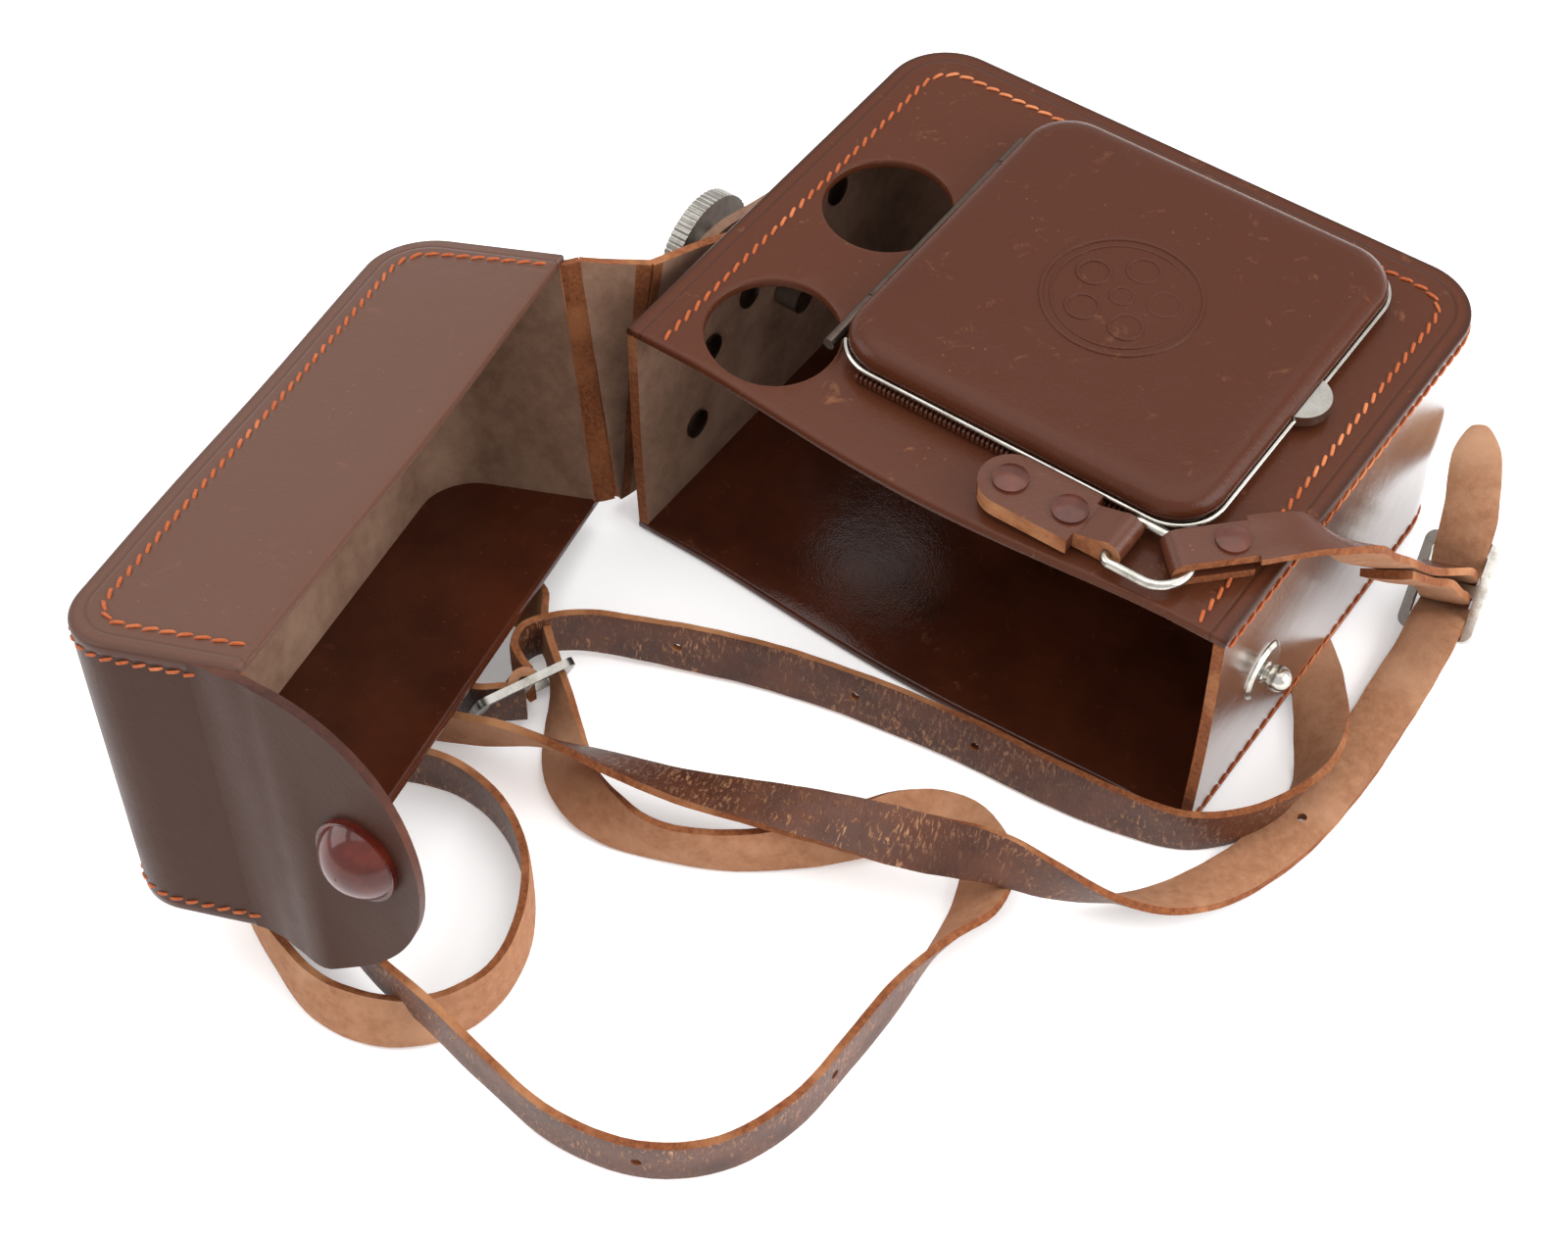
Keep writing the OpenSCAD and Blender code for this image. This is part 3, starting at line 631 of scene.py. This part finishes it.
# ---------------------------------------------------------------- straps and billet
BILLET = [
    (122.18, 18.78, 62.61, 90), (126, 22.6, 62.7, 92), (129.8, 26, 62.4, 100), (132.9, 29.6, 59.8, 112),
    (134.6, 34.5, 53.8, 120), (135.2, 42, 44.2, 122), (136.4, 51, 34.5, 122), (138.2, 60, 25, 120),
    (139.9, 67.6, 18.6, 118), (141.3, 74, 13.6, 115), (141.9, 77.1, 8.5, 114),
]
BILLET_RETURN = [
    (137.1, 49.6, 33.2, 122), (138.9, 58.6, 23.7, 120), (140.6, 66, 17.3, 118), (142.1, 70.3, 11.4, 115),
    (142.7, 73.3, 6.3, 114),
]
LONG = [
    (130.6, 107.5, 16.8, -100), (133.4, 100.5, 18, -100), (136.6, 93, 17.6, -101), (139.2, 87, 16, -101),
    (140.6, 82.6, 13.2, -101), (141.5, 80, 8.8, -101), (142.7, 77.2, 3.9, -101), (143.3, 72.3, 3.4, -101),
    (143.9, 67, 4.8, -101), (144.4, 61.5, 3.2, -98), (144.7, 52, 1.6, -93), (145.2, 40, 1.4, -92),
    (145.3, 28, 1.4, -92), (144.6, 16, 1.5, -93), (142.4, 3, 1.8, -97), (138.3, -9, 2.8, -106),
    (132.5, -18.5, 4.6, -124), (125, -25, 7, -150), (116, -29.3, 10, -180), (105.5, -33, 13, -205),
    (93, -38.5, 13.8, -235), (79, -43, 13.6, -262), (65, -47.8, 13, -280), (51, -52.9, 12.8, -296),
    (39, -56.2, 13.2, -308), (28.6, -58.4, 13.2, -324), (18, -60.6, 11.4, -338), (7.5, -63.2, 7.6, -350),
    (-3, -66, 5.8, -358), (-14, -67.5, 5.5, -360), (-22, -71.5, 5.5, -360), (-24, -78, 5.5, -360),
    (-18, -83, 5.5, -360), (-9, -80.5, 5.5, -360), (1, -75, 5.5, -360), (12, -71.5, 5.5, -360),
    (24, -73, 5.5, -360), (35, -79.5, 5.5, -360), (43, -90, 5.5, -364), (46, -102, 5.5, -366),
    (42.5, -112.6, 5.5, -374), (34, -119.6, 5.4, -382), (22.5, -122.2, 5.5, -376),
    (10.5, -119.3, 5.5, -366), (-1.5, -114, 5.5, -362), (-9, -105, 5.5, -360), (-6.5, -96, 5.5, -360),
    (2, -94.5, 5.8, -360), (10, -102, 8, -360), (19, -110, 10.8, -360), (30.5, -114.4, 12.6, -360),
    (43, -115.8, 12.2, -360), (57, -117.2, 8.4, -360), (72, -118, 5.8, -360), (87, -114.5, 5.5, -360),
    (98, -105.5, 5.5, -360), (103.5, -92, 5.5, -360), (104.5, -77, 5.5, -360), (104.8, -63, 5.5, -362),
    (105.6, -50, 5.4, -383), (106, -38.5, 4, -414), (102, -28.5, 3.2, -425), (94, -24.8, 3.2, -425),
    (85.8, -29, 4, -414), (79.5, -38, 5, -395), (72.5, -47.5, 5.6, -374), (62.3, -56, 5.5, -364),
    (49.6, -61.6, 5.5, -364), (36.3, -61.6, 4.7, -404), (27, -57.2, 4, -414), (18.7, -49.1, 5.2, -390),
    (12, -42, 5.5, -366), (4.5, -35.8, 5.5, -364), (-2.5, -31.5, 4.9, -398), (-9.5, -32.2, 4.4, -408),
    (-13.5, -38, 4.4, -408), (-12.5, -46, 5, -395), (-7.5, -52.5, 5.8, -360), (-1, -56.6, 6.6, -360),
    (5, -57, 7.4, -360), (9.4, -54, 7.7, -360), (12.6, -51.4, 7.7, -360),
]
SHORT = [
    (106, 63.2, 1.1, 270), (114, 58.2, 1.1, 270), (122, 52.8, 1.1, 270), (128.6, 46.6, 1.7, 266),
    (134, 39.5, 2.9, 254), (138.6, 31, 4.3, 238), (141.6, 22, 5.2, 212), (140.8, 12.5, 5.5, 192),
    (136.2, 3.6, 5.5, 184), (128.2, -3.4, 5.5, 180), (116, -6.6, 5.5, 172), (102, -8.3, 5.5, 167),
    (87, -9.2, 5.5, 166), (72, -11, 5.5, 166), (57, -13.6, 5.5, 166), (43, -17.2, 5.6, 166),
    (31, -21.6, 5.9, 167), (20.5, -26.2, 6.4, 171), (12, -30.4, 6.9, 176), (6.4, -35.2, 7.4, 180),
    (3.6, -40.2, 7.7, 180), (4.6, -44.6, 7.7, 180), (7.8, -46.8, 7.7, 180), (11.1, -48, 7.7, 180),
]

long_strap, long_path, long_len = strap("long_strap_leather", LONG, 10.5, strap_face, point_start=14,
                                        holes=[(145.0, 14), (87, -114.5), (104, -81)])
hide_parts("long_strap")
short_strap, short_path, short_len = strap("short_strap_leather", SHORT, 10.5, strap_face,
                                           holes=[(86, -9.3), (62, -12.7), (28, -22.8)])
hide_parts("short_strap")
billet, billet_path, billet_len = strap("billet_leather", BILLET, 10.0, tab_grain)
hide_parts("billet")
billet_back, _, _ = strap("billet_return_leather", BILLET_RETURN, 10.0, tab_grain)
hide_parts("billet_return")


# ---------------------------------------------------------------- case leather
LIP_FROM, LIP_TO = 14, 116
LIP_FADE = 24
LIP_BACK, LIP_DOWN = 1.6, 2.4
LIP_BACK_BELOW = 2.2
WAVE = 0.25
WALL_BOW = 0.5
SET_BACK = 0.05
ARC_STEPS = 18
DOOR_HOLE_HALF, DOOR_HOLE_R, DOOR_HOLE_STEPS = 32, 6, 6
FRONT_HOLE = (22.6, 15.4, 12.9)
REAR_HOLE = (21.2, 55.5, 12.6)
ROUND_STEPS = 56


def lip(x, y):
    """How much of the opening's edge gives way at this place, 0 to 1."""
    if not LIP_FROM < x < LIP_TO:
        return 0.0
    across = math.sin(math.pi * (x - LIP_FROM) / (LIP_TO - LIP_FROM)) ** 1.4
    return across * math.exp(-max(y, 0.0) / LIP_FADE)


def sag_top(x, y, z):
    """The top panel sags at the opening and is slightly wavy away from its edges."""
    g = lip(x, y)
    wave = WAVE * math.sin(x * 0.075 + 1.3) * math.sin(y * 0.06 + 0.4)
    edge = min(1.0, max(0.0, min(x, CASE_L - x, CASE_D - y) / 12))
    return x, y - LIP_BACK * g, z - LIP_DOWN * g + wave * edge


def sag_bottom(x, y, z):
    """The bottom panel's edge bows out at the opening."""
    return x, y - LIP_BACK_BELOW * lip(x, y), z


def case_corners(r):
    """The case's two back corners, from the right one to the left one."""
    y = CASE_D - CASE_R
    return arc(CASE_L - CASE_R, y, r, 0, 90, ARC_STEPS) + arc(CASE_R, y, r, 90, 180, ARC_STEPS)


case_plan = [(0, 0), (CASE_L, 0)] + case_corners(CASE_R)
case_holes = [
    rounded(DOOR_HOLE_HALF, DOOR_HOLE_R, DOOR_HOLE_STEPS, DOOR_X, DOOR_Y),
    arc(*FRONT_HOLE, 0, 360, ROUND_STEPS)[:-1],
    arc(*REAR_HOLE, 0, 360, ROUND_STEPS)[:-1],
]
case_top = plate("case_top_leather", case_plan, case_holes, CASE_H - THICK,
                 [case_grain, suede, dark_edge, dark_edge], move=sag_top)
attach(case_top, "case")
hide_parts("top_panel")
case_bottom = plate("case_bottom_leather", case_plan, [], 0, [oxblood, case_grain, cut_edge, cut_edge],
                    move=sag_bottom)
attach(case_bottom, "case")
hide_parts("bottom_panel")

wall_path = [(CASE_L - SET_BACK, 0.2)] + case_corners(CASE_R - SET_BACK) + [(SET_BACK, 0.2)]


def bow_wall(x, y, z):
    """The side walls bow out a little at mid height, most of all at the opening."""
    mid = math.sin(math.pi * min(max(z / CASE_H, 0), 1))
    out = WALL_BOW * mid * math.exp(-max(y, 0) / 40)
    return x + (out if x > CASE_L / 2 else -out), y, z


case_wall = wall("case_wall_leather", wall_path, [wall_grain, suede, cut_edge], move=bow_wall)
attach(case_wall, "case")
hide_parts("case_band")


def up(_):
    """The way out of a top panel."""
    return (0, 0, 1)


SEAM_R = 6.4
SEAM_Z = CASE_H - 0.05
STRAIGHT_WALL = 1.5
seam = (
    [(7.6, 1.2)] + arc(13.8, CASE_D - 13.2, SEAM_R, 180, 90, 8)
    + arc(CASE_L - 12.6, CASE_D - 13.2, SEAM_R, 90, 0, 8) + [(CASE_L - 6.2, 1.2)]
)
top_seam = stitches("case_top_stitches", [(x, y, SEAM_Z) for x, y in seam], up, move=sag_top)
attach(top_seam, "case")


def out_of_case(p):
    """Sideways out of the case's wall."""
    if p.y > CASE_D - CASE_R and p.x < CASE_R:
        return Vector((p.x - CASE_R, p.y - (CASE_D - CASE_R), 0))
    if p.y > CASE_D - CASE_R and p.x > CASE_L - CASE_R:
        return Vector((p.x - (CASE_L - CASE_R), p.y - (CASE_D - CASE_R), 0))
    if p.y > CASE_D - STRAIGHT_WALL:
        return Vector((0, 1, 0))
    return Vector((1, 0, 0)) if p.x > CASE_L / 2 else Vector((-1, 0, 0))


for tag, z in (("upper", CASE_H - 3.1), ("lower", 3.0)):
    part = [(x, y + 1.5 if y < 1 else y, z) for x, y in wall_path]
    row = stitches("case_wall_stitches_" + tag, part, out_of_case, radius=0.32, move=bow_wall)
    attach(row, "case")


# ---------------------------------------------------------------- lid leather, in the shut lid's own frame
def lid_corners(r, n):
    """The lid's two front corners, from the left one to the right one."""
    y = LID_R - LID_D
    return arc(LID_R, y, r, 180, 270, n) + arc(CASE_L - LID_R, y, r, 270, 360, n)


def sag_lid_top(x, y, z):
    """The lid's top panel sags at its rim and is slightly wavy."""
    g = math.sin(math.pi * min(max(x / CASE_L, 0), 1)) * math.exp(min(y, 0) / 12)
    return x, y, z - 1.2 * g + 0.18 * math.sin(x * 0.09)


lid_plan = [(CASE_L, -0.15), (0, -0.15)] + lid_corners(LID_R, 16)
lid_top = plate("lid_top_leather", lid_plan, [], CASE_H - THICK, [lid_grain, suede, dark_edge, cut_edge],
                matrix=LID, move=sag_lid_top)
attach(lid_top, "lid")
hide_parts("lid_top_panel")
lid_bottom = plate("lid_bottom_leather", lid_plan, [], 0, [oxblood, lid_grain, cut_edge, cut_edge],
                   matrix=LID)
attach(lid_bottom, "lid")
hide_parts("lid_bottom_panel")
lid_path = [(0.05, -0.2)] + lid_corners(LID_R - 0.05, 16) + [(CASE_L - 0.05, -0.2)]
lid_wall = wall("lid_wall_leather", lid_path, [flap_grain, suede, cut_edge], matrix=LID)
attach(lid_wall, "lid")
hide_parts("lid_band", "flap_root")
lid_seam = [(4.5, -1.5)] + lid_corners(6.2, 8) + [(CASE_L - 6.2, -1.5)]
lid_row = stitches("lid_top_stitches", [(x, y, SEAM_Z) for x, y in lid_seam], up, matrix=LID,
                   move=sag_lid_top)
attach(lid_row, "lid")


def out_of_lid(p):
    """Sideways out of the lid's wall, in the lid's own frame."""
    if p.y < LID_R - LID_D and p.x < LID_R:
        return Vector((p.x - LID_R, p.y - LID_R + LID_D, 0))
    if p.y < LID_R - LID_D and p.x > CASE_L - LID_R:
        return Vector((p.x - (CASE_L - LID_R), p.y - LID_R + LID_D, 0))
    if p.y < STRAIGHT_WALL - LID_D:
        return Vector((0, -1, 0))
    return Vector((1, 0, 0)) if p.x > CASE_L / 2 else Vector((-1, 0, 0))


# The wall's stitches stop short of the flap at the right and of the hinge at the left
for tag, z in (("upper", CASE_H - 2.8), ("lower", 2.8)):
    part = [(q.x, q.y, z) for q in resample([(a, b, 0) for a, b in lid_path], 1.0)
            if not (q.x > CASE_L - 2 and q.y > -7) and not (q.x < 2 and q.y > -3)]
    row = stitches("lid_wall_stitches_" + tag, part, out_of_lid, matrix=LID, radius=0.34)
    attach(row, "lid")

# ---------------------------------------------------------------- closing flap, which runs on from the wall
FLAP_FROM = -9.0
FLAP_LEN = 31.0
FLAP_HALF = 28.6
FLAP_LEAN = 12.0
FLAP_ROOT = -1.55
FLAP_ROWS, FLAP_COLS = 40, 30
FLAP_OUTSIDE, FLAP_INSIDE = 2.1, 0.05


def flap_half(y):
    """Half the flap's width at y beyond the lid's rim."""
    if y <= 0:
        return FLAP_HALF
    return FLAP_HALF * math.sqrt(max(0.0, 1 - (y / FLAP_LEN) ** 2.15))


def flap_out(y, w):
    """How far the leather stands off the wall's plane."""
    past = max(0.0, y - FLAP_ROOT)
    lean = past * math.tan(math.radians(FLAP_LEAN)) * min(1.0, past / 6)
    low = ((CASE_H - w) / CASE_H) ** 1.5
    lift = 2.6 * low * min(1.0, max(0.0, y + 3) / 10) * math.exp(-max(0.0, y - 9) / 7)
    tip = 0.5 * max(0.0, (y - 24) / 7) ** 2
    return lean + lift + tip


def flap_face(layer, y):
    """Where the flap's outer or inner face is at y, where it grows out of the wall's leather."""
    f = min(1.0, max(0.0, (y - FLAP_FROM) / 10))
    if layer == FLAP_OUTSIDE:
        return 0.06 + (FLAP_OUTSIDE - 0.06) * f * f * (3 - 2 * f)
    return FLAP_INSIDE - 1.6 * (1 - f)


def lid_point(x, y, w):
    """A place given in the shut lid's frame, as it lies in the picture."""
    return LID @ (Vector((x, y, w)) * MM) / MM


verts = []
for layer in (FLAP_OUTSIDE, FLAP_INSIDE):
    for i in range(FLAP_ROWS + 1):
        y = FLAP_FROM + (FLAP_LEN - FLAP_FROM) * (1 - (1 - i / FLAP_ROWS) ** 1.5)
        h = max(flap_half(y), 0.4)
        for j in range(FLAP_COLS + 1):
            w = CASE_H / 2 + h * (-1 + 2 * j / FLAP_COLS)
            verts.append(lid_point(CASE_L + flap_face(layer, y) + flap_out(y, w), y, w))
faces, index = shell_faces(FLAP_ROWS + 1, FLAP_COLS + 1)
flap = clean(make("flap_leather", verts, faces, [flap_grain, suede, dark_edge], index))
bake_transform(flap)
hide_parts("flap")

# ---------------------------------------------------------------- leather hinge between case and lid
SHEET_ROWS = 22
HINGE_FOOT, HINGE_HEAD = 1.5, 56.5


def sheet_between(name, lines, thick, mats, grooves=(), ripple=0.15):
    """A curved sheet through the lines, each from its foot to its head."""
    grid = spline([tuple(foot) + tuple(head) for foot, head in lines])
    n = len(grid)

    def point(i, j):
        q = grid[min(max(i, 0), n - 1)]
        return Vector(q[:3]).lerp(Vector(q[3:]), j / SHEET_ROWS)

    verts = []
    for layer in (0.5, -0.5):
        for i in range(n):
            for j in range(SHEET_ROWS + 1):
                along = point(i + 1, j) - point(i - 1, j)
                upward = point(i, SHEET_ROWS) - point(i, 0)
                normal = along.cross(upward).normalized()
                wave = ripple * math.sin(j * 0.9 + i * 0.5)
                verts.append(point(i, j) + normal * (layer * thick + wave))
    faces, index = shell_faces(n, SHEET_ROWS + 1, grooves)
    obj = clean(make(name, verts, faces, mats, index))
    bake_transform(obj)
    return obj


def lid_line(x, y):
    """A line up the hinge, from its foot to its head, given in the lid's frame."""
    return (lid_point(x, y, HINGE_FOOT), lid_point(x, y, HINGE_HEAD))


def middle(a, b):
    """The point halfway between two points."""
    return (Vector(a) + Vector(b)) / 2


GROOVE_NEAR = ((-7.2, 2.6, 2.2), (-6.2, 16.0, 58.2))
TAIL_MID = ((-4.8, 11.5, 3.0), (-4.4, 24, 56.5))
TAIL_END = ((-1.4, 27, 4.5), (-1.4, 34, 54))
fold_mats = [wall_grain, suede, cut_edge, fold_fuzz]
joint_line = lid_line(-0.9, 2.6)
lid_lines = [joint_line, lid_line(0.6, 0.6), lid_line(1.15, -1.2), lid_line(1.05, -4)]
sheet_between("hinge_fold_lid", lid_lines, 1.9, [wall_grain, fold_fuzz, cut_edge, fold_fuzz],
              ripple=0.0)
spine_mid = tuple(middle(a, b) for a, b in zip(GROOVE_NEAR, joint_line))
spine = sheet_between("hinge_spine_leather", [GROOVE_NEAR, spine_mid, joint_line], 1.8, fold_mats,
                      grooves=(0,))
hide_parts("hinge_spine", "fold_strip")
tail = sheet_between("hinge_tail_leather", [TAIL_END, TAIL_MID, GROOVE_NEAR], 1.9, fold_mats,
                     grooves=(12,))
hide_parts("hinge_tail")

# ---------------------------------------------------------------- padded door
DOOR_HALF = 39.0
DOOR_STEPS = 14
# How far in from the door's edge, and how high
DOOR_PROFILE = [
    (1.2, 60.75), (0.35, 60.9), (0.0, 61.9), (0.1, 63.0), (0.6, 64.1), (1.5, 64.9), (2.7, 65.35), (4.4, 65.5),
    (7, 65.52), (11, 65.55), (16, 65.6), (22, 65.65), (28, 65.68), (33, 65.7), (37, 65.7),
]

verts = []
for inset, z in DOOR_PROFILE:
    half = DOOR_HALF - inset
    corner = max(1.0, 10 - inset * 0.55) if half > 12 else half * 0.6
    for x, y in rounded(half, corner, DOOR_STEPS):
        dent = 0.16 * math.sin(x * 0.11 + 0.7) * math.sin(y * 0.13 + 1.1) if inset > 2 else 0.0
        crease = 0.22 * math.exp(-((x + y * 0.2 + 30) / 3.5) ** 2) if inset > 3 else 0.0
        verts.append((DOOR_X + x, DOOR_Y + y, z + dent - crease))
faces = loft_faces(len(DOOR_PROFILE), len(verts) // len(DOOR_PROFILE))
door = clean(make("door_cover_leather", verts, faces, [door_grain]))
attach(door, "door")
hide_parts("door_cover")


WIRE_SIDES = 10
TORUS_SIDES = 8
BEAD_HALF, BEAD_R, BEAD_Z = 39.15, 9.6, 60.55


def tube_ring(verts, faces, cx, cy, z, radius, wire, n):
    """Adds a slightly flattened ring of round wire."""
    base = len(verts)
    for i in range(n):
        a = 2 * math.pi * i / n
        for j in range(TORUS_SIDES):
            b = 2 * math.pi * j / TORUS_SIDES
            r = radius + wire * math.cos(b)
            verts.append((cx + r * math.cos(a), cy + r * math.sin(a), z + wire * 0.8 * math.sin(b)))
    for i in range(n):
        p, q = base + i * TORUS_SIDES, base + (i + 1) % n * TORUS_SIDES
        for j in range(TORUS_SIDES):
            k = (j + 1) % TORUS_SIDES
            faces.append((p + j, q + j, q + k, p + k))


def tube(name, points, radius, material):
    """A round wire through the points."""
    verts = []
    pts = [Vector(p) for p in points]
    n = len(pts)
    for i, p in enumerate(pts):
        t = (pts[min(i + 1, n - 1)] - pts[max(i - 1, 0)]).normalized()
        a = t.cross(Vector((0, 0, 1))).normalized()
        b = a.cross(t)
        for j in range(WIRE_SIDES):
            w = 2 * math.pi * j / WIRE_SIDES
            verts.append(p + (a * math.cos(w) + b * math.sin(w)) * radius)
    return clean(make(name, verts, loft_faces(n, WIRE_SIDES), [material]))


# The bead's corners in turn: side, end, first and last angle and steps
BEAD_CORNERS = ((-1, 1, 150, 90, 10), (1, 1, 90, 0, 14), (1, -1, 0, -90, 14), (-1, -1, -90, -150, 10))
reach = BEAD_HALF - BEAD_R
bead_line = []
for side, end, a0, a1, steps in BEAD_CORNERS:
    corner = arc(side * reach, end * reach, BEAD_R, a0, a1, steps)
    bead_line += [(DOOR_X + x, DOOR_Y + y, BEAD_Z) for x, y in corner]
bead = tube("door_rim_bead", bead_line, 0.55, nickel)
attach(bead, "door")

# Embossed film reel: two rim rings and the hub by height, radius, wire and steps, then five round windows
REEL_RINGS = ((65.66, 15, 0.45, 72), (65.66, 13.2, 0.28, 72), (65.7, 2.2, 0.36, 28))
WINDOW_REACH = 7.9
verts, faces = [], []
for z, radius, wire, steps in REEL_RINGS:
    tube_ring(verts, faces, DOOR_X, DOOR_Y, z, radius, wire, steps)
for k in range(5):
    a = math.radians(90 + 72 * k)
    x, y = DOOR_X + WINDOW_REACH * math.cos(a), DOOR_Y + WINDOW_REACH * math.sin(a)
    tube_ring(verts, faces, x, y, 65.68, 3.1, 0.38, 32)
emblem = clean(make("door_emblem", verts, faces, [door_grain]))
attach(emblem, "door")

# Crimped leather teeth between the door's rim and the panel
TEETH = 64
TEETH_SPAN = 64
TEETH_Y = DOOR_Y - 38.95
TOOTH_HALF_X, TOOTH_HALF_Y = 0.33, 0.7
TOOTH_LEVELS = ((57.6, 1.0), (58.7, 1.0), (59.1, 0.55))
verts, faces = [], []
for k in range(TEETH):
    cx = DOOR_X - TEETH_SPAN / 2 + TEETH_SPAN * k / (TEETH - 1)
    faces += loft_faces(len(TOOTH_LEVELS), 4, len(verts))
    for z, s in TOOTH_LEVELS:
        for x, y in ((-1, -1), (1, -1), (1, 1), (-1, 1)):
            verts.append((cx + x * TOOTH_HALF_X * s, TEETH_Y + y * TOOTH_HALF_Y * s, z))
crimp = clean(make("door_rim_teeth", verts, faces, [tab_grain], smooth=False))
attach(crimp, "case")


# ---------------------------------------------------------------- CAD parts that stay, with a better finish
def dress(name, material, bevel=0.0):
    """Gives a CAD node its material and, where `bevel` is set, softer edges."""
    obj = nodes[name]
    for s in obj.material_slots:
        s.material = material
    if not obj.material_slots:
        obj.data.materials.append(material)
    if bevel:
        mod = obj.modifiers.new("soft_edge", "BEVEL")
        mod.width = bevel * MM
        mod.segments = 3
        mod.limit_method = "ANGLE"
        mod.angle_limit = math.radians(35)


def raw_sides(name, way):
    """Gives the raw edge's material to the faces of a leather part that face along `way`."""
    obj = nodes[name]
    obj.data.materials.append(cut_edge)
    turn = obj.matrix_world.to_3x3()
    for p in obj.data.polygons:
        if abs((turn @ p.normal).dot(way)) > 0.7:
            p.material_index = len(obj.data.materials) - 1


for name in ("strap_ring", "press_stud"):
    dress(name, nickel)
dress("buckle_long", nickel, 0.45)
dress("buckle_short", dull_nickel, 0.45)
for name in ("door_latch", "door_pan", "door_frame"):
    dress(name, nickel, 0.3)
for name in ("door_hinge_pin", "door_hinge_tube", "wall_rivets", "anchor_rivet"):
    dress(name, dark_metal)
for name in ("tripod_screw", "tripod_washer", "stud_backing"):
    dress(name, dull_nickel)
dress("ring_tab", tab_grain, 0.35)
dress("ring_tab_rivets", cap_brown)
dress("billet_rivet", cap_brown)
for name in ("billet_loop", "billet_bend"):
    dress(name, tab_grain, 0.3)
raw_sides("ring_tab", Vector((0, 1, 0)))
raw_sides("billet_loop", Vector((-1, 1, 0)).normalized())
dress("short_bend", flesh, 0.3)
dress("anchor_patch", suede, 0.3)
dress("base_leaf", suede, 0.4)
dress("snap_cap", cap_red)
dress("snap_socket", old_brass)

# ---------------------------------------------------------------- floor and light
bpy.ops.mesh.primitive_plane_add(size=8, location=(0, 0, -0.0002))
floor = bpy.context.object
floor.name = "floor"
paper = bpy.data.materials.new("paper")
paper.use_nodes = True
surface = paper.node_tree.nodes["Principled BSDF"].inputs
surface["Base Color"].default_value = (0.95, 0.95, 0.95, 1)
surface["Roughness"].default_value = 1.0
surface["Specular IOR Level"].default_value = 0.0
surface["Emission Color"].default_value = (1, 1, 1, 1)
surface["Emission Strength"].default_value = 0.22
floor.data.materials.append(paper)

world = bpy.data.worlds.new("studio")
world.use_nodes = True
sky = world.node_tree.nodes["Background"].inputs
sky["Color"].default_value = (1, 1, 1, 1)
sky["Strength"].default_value = 1.0
scene.world = world


def softbox(name, place, aim, size, power):
    """A rectangular lamp that faces its aim, both in metres."""
    data = bpy.data.lights.new(name, "AREA")
    data.shape = "RECTANGLE"
    data.size, data.size_y = size
    data.energy = power
    light = bpy.data.objects.new(name, data)
    light.location = place
    light.rotation_euler = (Vector(aim) - Vector(place)).to_track_quat("-Z", "Y").to_euler()
    scene.collection.objects.link(light)


softbox("overhead", (0.0, 0.1, 0.9), (0.05, 0, 0), (1.2, 1.0), 6)
softbox("right", (1.0, 0.25, 0.45), (0.06, 0, 0.02), (0.9, 0.8), 10)
softbox("left", (-0.8, -0.45, 0.55), (0.0, -0.02, 0.02), (0.7, 0.7), 4)
